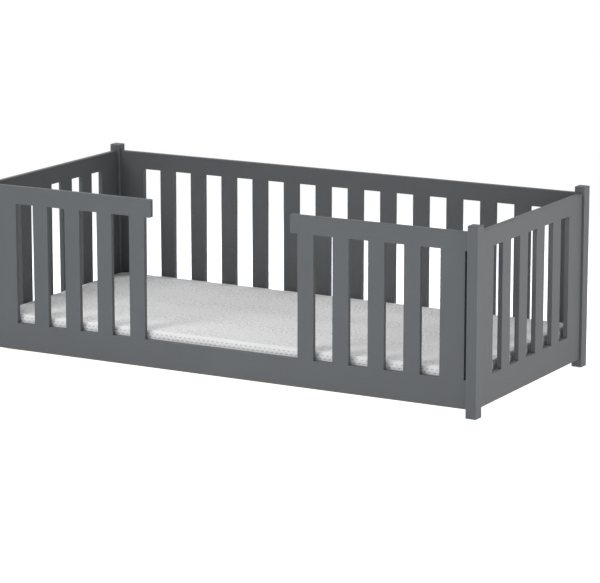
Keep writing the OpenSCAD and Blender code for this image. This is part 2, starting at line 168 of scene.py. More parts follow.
# %% [markdown]
# ## Floor, background and light
#
# A product picture on white needs three things that work against each other: a background that is
# pure white, a floor that still shows the bed's shadow, and light gentle enough for the colours
# to come out as they are. Each ray knows what it is for, so the floor can be three things at
# once. A glossy surface mirrors it plain white. For the light that fills the room it is a matt
# floor with a glow of its own, like a light table. That glow comes from below and fades inside
# the bed, where the low rails stand in its way, so the boards turn darker towards the mattress.
# The camera sees a mix of plain white and a floor far brighter than paint can be, so only the
# deepest shadow under the bed falls below white. The bright floor is a little blue, because the
# bare pine above it throws a warm tint into the shadow.

# %% Floor and world
FLOOR_SIZE = 60.0
FLOOR_COLOUR = (0.80, 0.80, 0.80)
FLOOR_COLOUR_SEEN = (4.0, 4.3, 5.0)
SHADOW_KEPT = 0.3
SHADOW_REACH = 1.4
SHADOW_GONE = 2.6
FLOOR_GLOW = 0.52
WORLD_STRENGTH = 0.035


def mirrored(finish):
    """1 for a ray that comes off a gloss or through glass, and 0 for any other."""
    ray = node(finish, "LightPath").outputs
    return maths(finish, "MAXIMUM", ray["Is Glossy Ray"], ray["Is Transmission Ray"])


def watched(finish):
    """1 for a ray that comes straight from the camera, and 0 for any other."""
    return node(finish, "LightPath").outputs["Is Camera Ray"]


bpy.ops.object.select_all(action="DESELECT")
bpy.ops.mesh.primitive_plane_add(size=FLOOR_SIZE)
floor = bpy.context.object
floor.name = "floor"
floor_paint, floor_surface = new_finish("white_floor")
floor_colour = tint(floor_paint, watched(floor_paint), FLOOR_COLOUR, FLOOR_COLOUR_SEEN)
floor_matt = node(floor_paint, "BsdfDiffuse", {"Color": floor_colour})
floor_glow = node(floor_paint, "Emission", {
    "Strength": between(floor_paint, watched(floor_paint), 0.0, 1.0, FLOOR_GLOW, 0.0),
})
floor_lit = node(floor_paint, "AddShader", {0: floor_matt.outputs[0], 1: floor_glow.outputs[0]})
floor_white = node(floor_paint, "Emission", {"Strength": 1.0})
floor_place = node(floor_paint, "TexCoord").outputs["Object"]
floor_reach = node(floor_paint, "VectorMath", {0: floor_place}, operation="LENGTH").outputs["Value"]
floor_share = between(floor_paint, floor_reach, SHADOW_REACH, SHADOW_GONE, 1 - SHADOW_KEPT, 1.0)
floor_whitened = maths(floor_paint, "MULTIPLY", watched(floor_paint), floor_share)
floor_mix = node(floor_paint, "MixShader", {
    0: maths(floor_paint, "MAXIMUM", floor_whitened, mirrored(floor_paint)),
    1: floor_lit.outputs[0],
    2: floor_white.outputs[0],
})
floor_output = floor_paint.node_tree.nodes["Material Output"]
floor_paint.node_tree.links.new(floor_mix.outputs[0], floor_output.inputs["Surface"])
floor_paint.node_tree.nodes.remove(floor_surface)
floor.data.materials.append(floor_paint)

world = bpy.data.worlds.new("white_room")
bpy.context.scene.world = world
world.use_nodes = True
backdrop = world.node_tree.nodes["Background"]
backdrop.inputs["Color"].default_value = (1, 1, 1, 1)
backdrop_seen = maths(world, "MAXIMUM", watched(world), mirrored(world))
backdrop_strength = between(world, backdrop_seen, 0.0, 1.0, WORLD_STRENGTH, 1.0)
world.node_tree.links.new(backdrop_strength, backdrop.inputs["Strength"])
bpy.context.scene.view_settings.view_transform = "Standard"

# %% [markdown]
# The lamps are large, because a large lamp gives soft shadows. Three hang high: one at the left,
# one behind, and one in front on the left, which reaches the inner faces of the back panel. One
# stands low at the right and makes that end the brightest side, and a long low one fills the
# front. Only the two low lamps are mirrored in the gloss, so the upper edges of the rails stay
# dark.

# %% Lamps
def soft_lamp(name, place, target, size, watts, colour, glint):
    """A rectangular lamp that faces a target point. Without a glint it isn't mirrored in gloss."""
    light = bpy.data.lights.new(name, "AREA")
    light.shape = "RECTANGLE"
    light.size, light.size_y = size
    light.energy = watts
    light.color = colour
    lamp = bpy.data.objects.new(name, light)
    bpy.context.collection.objects.link(lamp)
    lamp.location = place
    lamp.rotation_euler = (Vector(target) - Vector(place)).to_track_quat("-Z", "Y").to_euler()
    lamp.visible_glossy = glint


# Each lamp's place, target, size, watts and colour, and whether gloss mirrors it.
LAMPS = {
    "top_left": ((-1.7, 0.6, 3.2), (-0.3, 0.0, 0.0), (1.8, 2.0), 64, (1.0, 1.0, 1.0), False),
    "high_front": ((-1.9, -3.9, 2.4), (-0.2, 0.0, 0.3), (2.0, 1.5), 75, (1.0, 1.0, 1.0), False),
    "high_back": ((-0.8, 3.2, 3.3), (-0.1, 0.0, 0.0), (4.0, 1.5), 73, (1.0, 1.0, 1.0), False),
    "low_right": ((2.4, -0.15, 0.55), (0.8, 0.05, 0.25), (1.6, 0.9), 18.8, (1.02, 1.0, 0.97), True),
    "low_front": ((0.2, -1.4, 0.5), (0.0, -0.4, 0.25), (2.5, 0.7), 4.4, (0.99, 1.0, 1.02), True),
}
for name, settings in LAMPS.items():
    soft_lamp(name, *settings)
print("lamps:", len(LAMPS))

# %% [markdown]
# ## Graphite paint
#
# The boards are sprayed with an opaque satin paint. It looks flat from afar, but up close the
# wood's grain still shows through as long shallow furrows, the spray leaves a fine pebbling, and
# the film thins over the eased edges. There the colour is painted a little lighter, for the
# thinner film and as a painted highlight on the rounding. The furrows run along each board, so
# the paint is made three times, for boards that stand, that run along the bed and that cross it.
# The eased edges need no mask painted by hand: on a flat face one part of the normal is 1, and on
# a rounded edge none is.

# %% Painted wood
PAINT_DARK = (0.114, 0.121, 0.128)
PAINT_LIGHT = (0.130, 0.138, 0.145)
PAINT_EDGE_THIN_AND_HIGHLIGHT = (0.163, 0.172, 0.180)
PAINT_ROUGHNESS = (0.5, 0.6)
FLAT_FACE = 0.985
ROUNDED_EDGE = 0.75
CLOUD_SCALE = 9
GRAIN_SCALE = 420
GRAIN_STRETCH = 0.035
GRAIN_DEPTH = 0.12 * MM
SPRAY_SCALE = 1100
SPRAY_DEPTH = 0.03 * MM


def eased_edge(finish):
    """0 on flat faces that lie along the axes, and up to 1 on the rounded edges between them."""
    normal = node(finish, "NewGeometry").outputs["Normal"]
    parts = node(finish, "SeparateXYZ", {0: normal}).outputs
    sizes = [maths(finish, "ABSOLUTE", part) for part in parts]
    largest = maths(finish, "MAXIMUM", maths(finish, "MAXIMUM", sizes[0], sizes[1]), sizes[2])
    return between(finish, largest, FLAT_FACE, ROUNDED_EDGE)


def painted_board(name, along):
    """Satin paint over wood whose grain runs along axis 0, 1 or 2."""
    finish, surface = new_finish(name, Specular_IOR_Level=0.18)
    grain_scale = [1.0, 1.0, 1.0]
    grain_scale[along] = GRAIN_STRETCH
    grain = noise(finish, coordinates(finish, grain_scale), GRAIN_SCALE, detail=5, roughness=0.6)
    plain = coordinates(finish)
    cloud = noise(finish, plain, CLOUD_SCALE, detail=3)
    pebble = noise(finish, plain, SPRAY_SCALE, detail=1)
    tone = maths(finish, "MULTIPLY", maths(finish, "ADD", grain, cloud), 0.5)
    body_tone = tint(finish, between(finish, tone, *WIDE_SPAN), PAINT_DARK, PAINT_LIGHT)
    furrows = relief(finish, grain, GRAIN_DEPTH)
    # Eased edges get a lighter colour: thinner film, and a painted highlight on the rounding.
    feed(finish, surface, Base_Color=tint(finish, eased_edge(finish), body_tone, PAINT_EDGE_THIN_AND_HIGHLIGHT))
    feed(finish, surface, Roughness=between(finish, cloud, *WIDE_SPAN, *PAINT_ROUGHNESS))
    feed(finish, surface, Normal=relief(finish, pebble, SPRAY_DEPTH, furrows))
    return finish


paint_along = painted_board("graphite_paint_lengthwise", 0)
paint_across = painted_board("graphite_paint_crosswise", 1)
paint_up = painted_board("graphite_paint_upright", 2)

# %% [markdown]
# ## Bare wood, fittings and webbing
#
# Hardly any of this shows with the mattress in place, but the base does from below and when the
# mattress is lifted out. Pine has soft growth rings drawn out along the board, with a knot now
# and then. Beech is even and flecked. The cam fittings and screws are zinc plated steel: a metal,
# with a dull, slightly blotched shine. The cover caps are plastic, in nearly the paint's grey.
# The two straps under the slats are woven tape, so their pattern is two sets of ribs that cross.
# The tape is painted darker between the crossings, as painted shade in the low places of the weave.

# %% Pine and beech
PINE_EARLY = (0.78, 0.62, 0.42)
PINE_LATE = (0.60, 0.39, 0.20)
PINE_FIBRE = (0.66, 0.48, 0.29)
KNOT = (0.30, 0.15, 0.07)
RINGS = 42
RING_SCALE = 9
RING_STRETCH = 0.06
RING_DARKENS = (0.35, 0.85)
RING_STOPS = (1.0, 0.92)
FIBRE_SCALE = 900
FIBRE_SPAN = (0.45, 0.75)
FIBRE_SHARE = 0.5
FIBRE_FRAY = 0.006
FIBRE_DEPTH = 0.10 * MM
KNOT_SCALE = 3.1
KNOT_STRETCH = 0.4
KNOT_EDGE = (0.030, 0.015)
BEECH_LIGHT = (0.62, 0.41, 0.24)
BEECH_DARK = (0.45, 0.26, 0.13)
FLECK_SCALE = 700
FLECK_DEPTH = 0.05 * MM


def bare_pine(name, along):
    """Planed softwood whose grain runs along axis 0 or 1."""
    finish, surface = new_finish(name, Roughness=0.62)
    ring_scale = [1.0, 1.0, 1.0]
    ring_scale[along] = RING_STRETCH
    where = coordinates(finish, ring_scale)
    fibres = noise(finish, where, FIBRE_SCALE, detail=3)
    fray = maths(finish, "MULTIPLY", fibres, FIBRE_FRAY)
    wander = maths(finish, "ADD", noise(finish, where, RING_SCALE, detail=1), fray)
    rings = maths(finish, "FRACT", maths(finish, "MULTIPLY", wander, RINGS))
    darkening, stop = between(finish, rings, *RING_DARKENS), between(finish, rings, *RING_STOPS)
    late = maths(finish, "MULTIPLY", darkening, stop)
    fibre_share = between(finish, fibres, *FIBRE_SPAN, 0.0, FIBRE_SHARE)
    wood = tint(finish, late, tint(finish, fibre_share, PINE_EARLY, PINE_FIBRE), PINE_LATE)
    knot_place = coordinates(finish, (1, 1, KNOT_STRETCH))
    cells = node(finish, "TexVoronoi", {"Vector": knot_place, "Scale": KNOT_SCALE})
    heart = between(finish, cells.outputs["Distance"], *KNOT_EDGE)
    feed(finish, surface, Base_Color=tint(finish, heart, wood, KNOT))
    feed(finish, surface, Normal=relief(finish, fibres, FIBRE_DEPTH))
    return finish


pine_along = bare_pine("bare_pine_lengthwise", 0)
pine_across = bare_pine("bare_pine_crosswise", 1)

beech, beech_surface = new_finish("beech_dowel", Roughness=0.55)
flecks = noise(beech, coordinates(beech), FLECK_SCALE, detail=4)
beech_tone = between(beech, flecks, *NARROW_SPAN)
feed(beech, beech_surface, Base_Color=tint(beech, beech_tone, BEECH_DARK, BEECH_LIGHT))
feed(beech, beech_surface, Normal=relief(beech, flecks, FLECK_DEPTH))

# %% Zinc, cover caps and webbing
ZINC_BRIGHT = (0.66, 0.67, 0.69)
ZINC_DULL = (0.50, 0.51, 0.53)
ZINC_ROUGHNESS = (0.26, 0.42)
BLOTCH_SCALE = 260
CAP_GREY = (0.110, 0.116, 0.123)
CAP_GREY_WORN = (0.130, 0.138, 0.145)
CAP_ROUGHNESS = (0.45, 0.6)
SPARK_SCALE = 1800
SPARK_DEPTH = 0.03 * MM
TAPE_WHITE = (0.78, 0.77, 0.73)
TAPE_VALLEY_PAINTED_SHADE = (0.56, 0.55, 0.52)
TAPE_RIB_PITCH = 2.0 * MM
TAPE_DEPTH = 0.25 * MM

zinc, zinc_surface = new_finish("zinc_plate", Metallic=1.0)
blotches = noise(zinc, coordinates(zinc), BLOTCH_SCALE, detail=4)
zinc_tone = between(zinc, blotches, *NARROW_SPAN)
feed(zinc, zinc_surface, Base_Color=tint(zinc, zinc_tone, ZINC_DULL, ZINC_BRIGHT))
feed(zinc, zinc_surface, Roughness=between(zinc, blotches, *WIDE_SPAN, *ZINC_ROUGHNESS))

cap_plastic, cap_surface = new_finish("cap_plastic", Specular_IOR_Level=0.25)
sparks = noise(cap_plastic, coordinates(cap_plastic), SPARK_SCALE, detail=2)
feed(cap_plastic, cap_surface, Base_Color=tint(cap_plastic, sparks, CAP_GREY, CAP_GREY_WORN))
feed(cap_plastic, cap_surface, Roughness=between(cap_plastic, sparks, *WIDE_SPAN, *CAP_ROUGHNESS))
feed(cap_plastic, cap_surface, Normal=relief(cap_plastic, sparks, SPARK_DEPTH))

webbing, webbing_surface = new_finish("strap_webbing", Roughness=0.8, Sheen_Weight=0.2)
tape = node(webbing, "SeparateXYZ", {0: coordinates(webbing)}).outputs


def rib(finish, value, pitch):
    """A rounded ridge from 0 to 1 once every pitch."""
    wave = maths(finish, "SINE", maths(finish, "MULTIPLY", value, 2 * math.pi / pitch))
    return node(finish, "Math", {0: wave, 1: 0.5, 2: 0.5}, operation="MULTIPLY_ADD").outputs[0]


def crossed_ribs(finish, place, pitch):
    """Ribs along X times ribs along Y, which is high only where two ridges cross."""
    return maths(finish, "MULTIPLY", rib(finish, place["X"], pitch), rib(finish, place["Y"], pitch))


weave = crossed_ribs(webbing, tape, TAPE_RIB_PITCH)
# Between the crossings the tape is painted darker, as painted shade.
feed(webbing, webbing_surface, Base_Color=tint(webbing, weave, TAPE_VALLEY_PAINTED_SHADE, TAPE_WHITE))
feed(webbing, webbing_surface, Normal=relief(webbing, weave, TAPE_DEPTH))

# %% Paint every solid
ALONG_THE_BED = (
    "back_top_rail", "back_bottom_rail", "front_bottom_rail", "guard_rail_left", "guard_rail_right",
)
ACROSS_THE_BED = ("left_top_rail", "left_bottom_rail", "right_top_rail", "right_bottom_rail")
OTHER_FINISHES = {
    "front_ledger": pine_along,
    "back_ledger": pine_along,
    "base_slats": pine_across,
    "base_straps": webbing,
    "dowels": beech,
    "cam_bolts": zinc,
    "cams": zinc,
    "cam_caps": cap_plastic,
    "ledger_screws": zinc,
    "base_screws": zinc,
}
for name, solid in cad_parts.items():
    finish = OTHER_FINISHES.get(name, paint_up)
    if name in ALONG_THE_BED:
        finish = paint_along
    if name in ACROSS_THE_BED:
        finish = paint_across
    for material_slot in solid.material_slots:
        material_slot.material = finish
print("finishes given to", len(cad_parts), "solids")

# %% [markdown]
# ## Wood screws
#
# Countersunk screws with a cross recess hold the slats to the ledgers and the ledgers to the low
# rails. The plain solids have the right place and size, but a screw is known by its recess and
# its thread. A true helix would be lost at this size, so one screw is turned from a circle, ring
# by ring, as on a lathe, and two crossed cuts with a tapered blade make its recess. Copies stand
# where the plain ones stood, each turned further round than the last, because a screwdriver
# leaves no two alike.

# %% Modelling helpers
def deselect():
    """Leaves edit mode and selects nothing."""
    if bpy.context.object and bpy.context.object.mode != "OBJECT":
        bpy.ops.object.mode_set(mode="OBJECT")
    bpy.ops.object.select_all(action="DESELECT")


def edit(piece, elements="VERT"):
    """Opens one piece in edit mode."""
    deselect()
    piece.select_set(True)
    bpy.context.view_layer.objects.active = piece
    bpy.ops.object.mode_set(mode="EDIT")
    bpy.ops.mesh.select_mode(type=elements)


def pick(piece, elements, wanted):
    """In edit mode, selects the vertices or the edges that pass a test, and nothing else."""
    mesh = bmesh.from_edit_mesh(piece.data)
    bpy.ops.mesh.select_all(action="DESELECT")
    for element in getattr(mesh, elements):
        if wanted(element):
            element.select_set(True)
    bmesh.update_edit_mesh(piece.data)


def extrude(x, y, z):
    """In edit mode, pulls new faces out of the selected edges, that far along X, Y and Z."""
    bpy.ops.mesh.extrude_edges_move(TRANSFORM_OT_translate={"value": (x, y, z)})


def rise(edge):
    """How much higher one end of an edge is than its other end."""
    return abs(edge.verts[0].co.z - edge.verts[1].co.z)


# %% One screw
HEAD_RADIUS = 4 * MM
HEAD_HEIGHT = 2.6 * MM
HEAD_EDGE = 0.15 * MM
THREAD_RADIUS_OUT = 2.0 * MM
THREAD_RADIUS_IN = 1.5 * MM
THREAD_PITCH = 1.8 * MM
NECK_LENGTH = 5 * MM
POINT_LENGTH = 3 * MM
POINT_SHARE = 0.15
RECESS_LENGTH = 4.6 * MM
RECESS_WIDTH = 0.9 * MM
RECESS_DEPTH = 1.7 * MM
RECESS_TAPER = (0.3, 0.7, 1)
SCREW_SIDES = 16


def turned_screw(name, length):
    """A countersunk screw with its head's face on the floor plane and its point straight down."""
    rings = [
        (HEAD_EDGE, HEAD_RADIUS - HEAD_EDGE / 2),
        (HEAD_HEIGHT, THREAD_RADIUS_IN),
        (NECK_LENGTH, THREAD_RADIUS_IN),
    ]
    turns = int((length - NECK_LENGTH - POINT_LENGTH) / THREAD_PITCH)
    for turn in range(turns):
        depth = NECK_LENGTH + turn * THREAD_PITCH
        rings.append((depth + THREAD_PITCH / 2, THREAD_RADIUS_OUT))
        rings.append((depth + THREAD_PITCH, THREAD_RADIUS_IN))
    rings.append((length, THREAD_RADIUS_IN * POINT_SHARE))
    deselect()
    radius = HEAD_RADIUS - HEAD_EDGE
    bpy.ops.mesh.primitive_circle_add(vertices=SCREW_SIDES, radius=radius, fill_type="NGON")
    screw = bpy.context.object
    screw.name = name
    edit(screw, "EDGE")
    bpy.ops.mesh.select_all(action="SELECT")
    depth = 0.0
    for ring_depth, ring_radius in rings:
        extrude(0, 0, depth - ring_depth)
        bpy.ops.transform.resize(value=(ring_radius / radius, ring_radius / radius, 1))
        depth, radius = ring_depth, ring_radius
    bpy.ops.mesh.edge_face_add()
    bpy.ops.mesh.select_all(action="SELECT")
    bpy.ops.mesh.normals_make_consistent(inside=False)
    cut_recess(screw)
    return screw


def cut_recess(screw):
    """Cuts the head twice, a quarter turn apart, with a blade that narrows downwards."""
    deselect()
    bpy.ops.mesh.primitive_cube_add(size=1)
    blade = bpy.context.object
    blade.scale = (RECESS_LENGTH, RECESS_WIDTH, 2 * RECESS_DEPTH)
    bpy.ops.object.transform_apply(scale=True)
    edit(blade)
    pick(blade, "verts", lambda point: point.co.z < 0)
    bpy.ops.transform.resize(value=RECESS_TAPER)
    for turn in (0, 90):
        deselect()
        blade.rotation_euler.z = math.radians(turn)
        bpy.context.view_layer.objects.active = screw
        recess = screw.modifiers.new("recess", "BOOLEAN")
        recess.object = blade
        recess.operation = "DIFFERENCE"
        bpy.ops.object.modifier_apply(modifier=recess.name)
    bpy.data.objects.remove(blade)


# %% Screws in their places
SCREW_TURN = math.radians(137)
SMOOTH_BELOW = math.radians(35)
BASE_SLATS = 14
BASE_SCREW_LENGTH = 25 * MM
LEDGER_SCREWS_A_SIDE = 5
LEDGER_SCREW_LENGTH = 30 * MM


def drive(screw, places):
    """Copies a screw to every place, given with the way its head faces, and joins the copies."""
    deselect()
    copies = []
    for number, (place, facing) in enumerate(places):
        copy = screw.copy()
        copy.data = screw.data.copy()
        bpy.context.collection.objects.link(copy)
        turn = Quaternion((0, 0, 1), number * SCREW_TURN)
        copy.location = place
        copy.rotation_euler = (Vector(facing).to_track_quat("Z", "Y") @ turn).to_euler()
        copies.append(copy)
    bpy.data.objects.remove(screw)
    for copy in copies:
        copy.select_set(True)
    bpy.context.view_layer.objects.active = copies[0]
    bpy.ops.object.join()
    bpy.ops.object.transform_apply(location=True, rotation=True, scale=True)
    bpy.ops.object.shade_smooth_by_angle(angle=SMOOTH_BELOW)
    return copies[0]


def spread(low, high, count):
    """Evenly spaced places from low to high."""
    return [low + (high - low) * step / (count - 1) for step in range(count)]


screws_low, screws_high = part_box("base_screws")
base_places = [
    ((x, side * (screws_high.y - HEAD_RADIUS), screws_high.z), (0, 0, 1))
    for x in spread(screws_low.x + HEAD_RADIUS, screws_high.x - HEAD_RADIUS, BASE_SLATS)
    for side in (-1, 1)
]
screws_low, screws_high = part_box("ledger_screws")
screws_middle = (screws_low.z + screws_high.z) / 2
ledger_places = [
    ((x, side * (screws_high.y - LEDGER_SCREW_LENGTH), screws_middle), (0, -side, 0))
    for x in spread(screws_low.x + HEAD_RADIUS, screws_high.x - HEAD_RADIUS, LEDGER_SCREWS_A_SIDE)
    for side in (-1, 1)
]
slat_screws = drive(turned_screw("slat_screws", BASE_SCREW_LENGTH), base_places)
rail_screws = drive(turned_screw("rail_screws", LEDGER_SCREW_LENGTH), ledger_places)
for piece, replaced in ((slat_screws, "base_screws"), (rail_screws, "ledger_screws")):
    piece.data.materials.append(zinc)
    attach(piece, "frame")
    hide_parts(replaced)
    print(piece.name, "faces:", len(piece.data.polygons))

# %% [markdown]
# ## The mattress pad
#
# A floor bed's mattress is a thin slab of foam in a sewn cover. Its top swells a little between
# firm edges, its sides are drawn in between the corners, and its rims are round. One way is to
# sculpt all of this by hand. Here a box is bevelled at its corners and rims, cut into an even
# grid, and blown up slightly by a cloth simulation with air pressure, while the rims stay where
# the seams hold them. The cloth finds the swelling by itself, and a cap keeps it as low as firm
# foam is.

# %% Pad: a bevelled box cut into a grid
pad_low, pad_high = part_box("mattress")
CROWN = 5 * MM
BORDER_THICKNESS = 2.0 * MM
CORNER_RADIUS = 32 * MM
CORNER_SEGMENTS = 8
RIM_RADIUS = 11 * MM
RIM_SEGMENTS = 5
GRID_STEP = 16 * MM
SIDE_CUTS = (0.3, 0.5, 0.7)
UNDERSIDE_CLEARANCE = 0.3 * MM

half_length = pad_high.x - BORDER_THICKNESS
half_width = pad_high.y - BORDER_THICKNESS
rim_top = pad_high.z - CROWN
rim_bottom = pad_low.z + UNDERSIDE_CLEARANCE
thickness = rim_top - rim_bottom

deselect()
bpy.ops.mesh.primitive_cube_add(size=2, location=(0, 0, (rim_top + rim_bottom) / 2))
pad = bpy.context.object
pad.name = "mattress_pad"
pad.scale = (half_length, half_width, thickness / 2)
bpy.ops.object.transform_apply(location=True, rotation=True, scale=True)
edit(pad, "EDGE")
pick(pad, "edges", lambda edge: rise(edge) > thickness / 2)
bpy.ops.mesh.bevel(offset=CORNER_RADIUS, segments=CORNER_SEGMENTS, affect="EDGES")
pick(pad, "edges", lambda edge: rise(edge) < thickness / 2)
bpy.ops.mesh.bevel(offset=RIM_RADIUS, segments=RIM_SEGMENTS, affect="EDGES")


def cut(low, high, normal):
    """Cuts the piece in edit mode by evenly spaced planes between two places along an axis."""
    steps = max(2, round((high - low) / GRID_STEP))
    for step in range(1, steps):
        place = low + (high - low) * step / steps
        bpy.ops.mesh.select_all(action="SELECT")
        bpy.ops.mesh.bisect(plane_co=Vector(normal) * place, plane_no=normal)


cut(-half_length + CORNER_RADIUS, half_length - CORNER_RADIUS, (1, 0, 0))
cut(-half_width + CORNER_RADIUS, half_width - CORNER_RADIUS, (0, 1, 0))
for fraction in SIDE_CUTS:
    bpy.ops.mesh.select_all(action="SELECT")
    bpy.ops.mesh.bisect(plane_co=(0, 0, rim_bottom + thickness * fraction), plane_no=(0, 0, 1))
bpy.ops.object.mode_set(mode="OBJECT")
print("pad faces:", len(pad.data.polygons))

# %% Pad: sides drawn in, then air pressure
DRAW_IN = 1 * MM
BELLY_SHARE = 0.4
HELD_WIDTH = 30 * MM
PRESSURE = 4
SWELL_CAP = CROWN
SIMULATION_FRAMES = 20


def bow(distance, half):
    """1 in the middle of a side and 0 at its corners."""
    return max(0.0, 1 - (distance / half) ** 2)


for point in pad.data.vertices:
    x, y, z = point.co
    belly = bow(z - (rim_top + rim_bottom) / 2, thickness / 2)
    inwards = DRAW_IN * (1 - BELLY_SHARE * belly)
    if abs(y) > half_width - RIM_RADIUS:
        point.co.y -= math.copysign(inwards * bow(x, half_length), y)
    if abs(x) > half_length - RIM_RADIUS:
        point.co.x -= math.copysign(inwards * bow(y, half_width), x)


def swell(piece, held, cap, frames):
    """Blows a closed piece up with cloth pressure, and moves no point further than the cap."""
    seams = piece.vertex_groups.new(name="held")
    for point in piece.data.vertices:
        seams.add([point.index], held(point.co), "REPLACE")
    cloth = piece.modifiers.new("air", "CLOTH")
    cloth.settings.use_pressure = True
    cloth.settings.uniform_pressure_force = PRESSURE
    cloth.settings.vertex_group_mass = seams.name
    cloth.settings.effector_weights.gravity = 0
    scene = bpy.context.scene
    for step in range(1, frames + 1):
        scene.frame_set(step)
    blown = piece.evaluated_get(bpy.context.evaluated_depsgraph_get())
    pairs = zip(blown.data.vertices, piece.data.vertices)
    moves = [after.co - before.co for after, before in pairs]
    piece.modifiers.remove(cloth)
    piece.vertex_groups.remove(seams)
    for point, move in zip(piece.data.vertices, moves):
        if move.length > 0:
            point.co += move * (cap * math.tanh(move.length / cap) / move.length)
    scene.frame_set(1)
    return max(move.length for move in moves)


def held_by_seams(place):
    """1 on the sides and rims, falling to 0 over the held width of the top and the underside."""
    inside = min(half_length - abs(place.x), half_width - abs(place.y))
    return min(1.0, max(0.0, 1 - (inside - RIM_RADIUS) / HELD_WIDTH))


swelling = swell(pad, held_by_seams, SWELL_CAP, SIMULATION_FRAMES)
print("swelling before the cap:", round(swelling, 4))


def soften(piece, levels):
    """Subdivides a piece with a modifier, applies it and shades the piece smooth."""
    deselect()
    piece.select_set(True)
    bpy.context.view_layer.objects.active = piece
    rounding = piece.modifiers.new("soften", "SUBSURF")
    rounding.levels = rounding.render_levels = levels
    bpy.ops.object.modifier_apply(modifier=rounding.name)
    bpy.ops.object.shade_smooth()


soften(pad, 1)
for point in pad.data.vertices:
    point.co.z = max(point.co.z, pad_low.z)
pad_top = max(point.co.z for point in pad.data.vertices)
print("pad faces:", len(pad.data.polygons), "height:", round(pad_top, 4))

# %% [markdown]
# ## The border: a mesh cloth with holes
#
# Round the sides runs a band of airy mesh cloth with staggered rows of small oval holes, well
# over a thousand of them, too many to cut one by one. One hole is modelled in a small rectangle:
# an octagon bridged to the rectangle's outline, and then pushed in. That cell is repeated into a
# flat strip, as the cloth comes off the roll, and the strip is then wrapped round the pad, each
# point laid on the pad's real surface. The strip ends on the rims, where the seams are.

# %% Border: one cell with its hole
HOLE_PITCH = 16 * MM
ROW_HEIGHT = 10 * MM
HOLE_ROWS = 6
HOLE_WIDTH = 11.5 * MM
HOLE_HEIGHT = 3.8 * MM
HOLE_DEPTH = 1.0 * MM
HOLE_CORNERS = 8
HOLE_FLOOR_SHARE = 0.8
HOLE_ZONE = 0.45
PUCKER = 0.5 * MM
NEAR_MIDDLE = 0.1

straight = 2 * (half_length - CORNER_RADIUS) + 2 * (half_width - CORNER_RADIUS)
girth = 2 * straight + 2 * math.pi * CORNER_RADIUS
holes_round = round(girth / HOLE_PITCH)
cell_width = girth / holes_round

deselect()
bpy.ops.mesh.primitive_plane_add(size=1)
border = bpy.context.object
border.name = "mattress_border"
edit(border)
bpy.ops.mesh.subdivide(number_cuts=1)
pick(border, "verts", lambda point: point.co.length < NEAR_MIDDLE)
bpy.ops.mesh.delete(type="VERT")
bpy.ops.mesh.primitive_circle_add(vertices=HOLE_CORNERS, radius=0.5)
bpy.ops.transform.resize(value=(HOLE_WIDTH / cell_width, HOLE_HEIGHT / ROW_HEIGHT, 1))
bpy.ops.mesh.select_all(action="SELECT")
bpy.ops.mesh.bridge_edge_loops()
bpy.ops.object.mode_set(mode="OBJECT")
border.scale = (cell_width, ROW_HEIGHT, 1)
bpy.ops.object.transform_apply(scale=True)
edit(border)
# Of a cell's points, only the hole's own lie in this zone.
zone_x, zone_y = cell_width * HOLE_ZONE, ROW_HEIGHT * HOLE_ZONE
pick(border, "verts", lambda point: abs(point.co.x) < zone_x and abs(point.co.y) < zone_y)
bpy.ops.transform.translate(value=(0, 0, -PUCKER))
extrude(0, 0, -HOLE_DEPTH)
bpy.ops.transform.resize(value=(HOLE_FLOOR_SHARE, HOLE_FLOOR_SHARE, 1))
bpy.ops.mesh.edge_face_add()
print("holes round the pad:", holes_round, "cell:", round(cell_width / MM, 2), "mm")

# %% Border: the flat strip
SEAM_DROP = 4 * MM
HEM_STEPS = 3
TUCK = 2.5 * MM
EDGE_TOLERANCE = 0.01 * MM
MERGED_FLAT = 0.02 * MM


def tile(piece, count, step):
    """Repeats a piece a number of times, each copy one step further, and joins what meets."""
    bpy.context.view_layer.objects.active = piece
    row = piece.modifiers.new("row", "ARRAY")
    row.use_relative_offset = False
    row.use_constant_offset = True
    row.constant_offset_displace = step
    row.count = count
    row.use_merge_vertices = True
    row.merge_threshold = MERGED_FLAT
    bpy.ops.object.modifier_apply(modifier=row.name)


profile = math.pi * RIM_RADIUS + thickness - 2 * RIM_RADIUS
seam_height = profile / 2 - SEAM_DROP
hem = seam_height - HOLE_ROWS * ROW_HEIGHT / 2

bpy.ops.object.mode_set(mode="OBJECT")
tile(border, holes_round, (cell_width, 0, 0))
tile(border, 2, (cell_width / 2, ROW_HEIGHT, 0))
tile(border, HOLE_ROWS // 2, (0, 2 * ROW_HEIGHT, 0))
edit(border, "EDGE")
strip_top = (HOLE_ROWS - 0.5) * ROW_HEIGHT
for side, edge_height in ((1, strip_top), (-1, -ROW_HEIGHT / 2)):
    pick(border, "edges", lambda edge: all(
        abs(end.co.y - edge_height) < EDGE_TOLERANCE for end in edge.verts
    ))
    for _ in range(HEM_STEPS):
        extrude(0, side * hem / HEM_STEPS, 0)
    extrude(0, 0, -TUCK)
bpy.ops.mesh.select_all(action="SELECT")
bpy.ops.transform.translate(value=(0, -(HOLE_ROWS - 1) * ROW_HEIGHT / 2, 0))
bpy.ops.object.mode_set(mode="OBJECT")
print("strip:", round(girth, 3), "by", round(profile, 4), "m, faces:", len(border.data.polygons))

# %% [markdown]
# ## Wrapping a flat strip round the pad
#
# A flat strip has three plain directions: along the cloth, up the cloth, and out of it. The pad
# has the same three: round its outline, over its rim and down its side, and away from its
# surface. One function carries every point of a strip from the first three to the second. It aims
# at the pad from outside and lays the point where the aim meets the real, swollen surface, so
# nothing sinks in or floats.

# %% Wrap
corner_x = half_length - CORNER_RADIUS
corner_y = half_width - CORNER_RADIUS
UP = Vector((0, 0, 1))
AIM_FROM = 30 * MM
MERGED_WRAPPED = 0.05 * MM


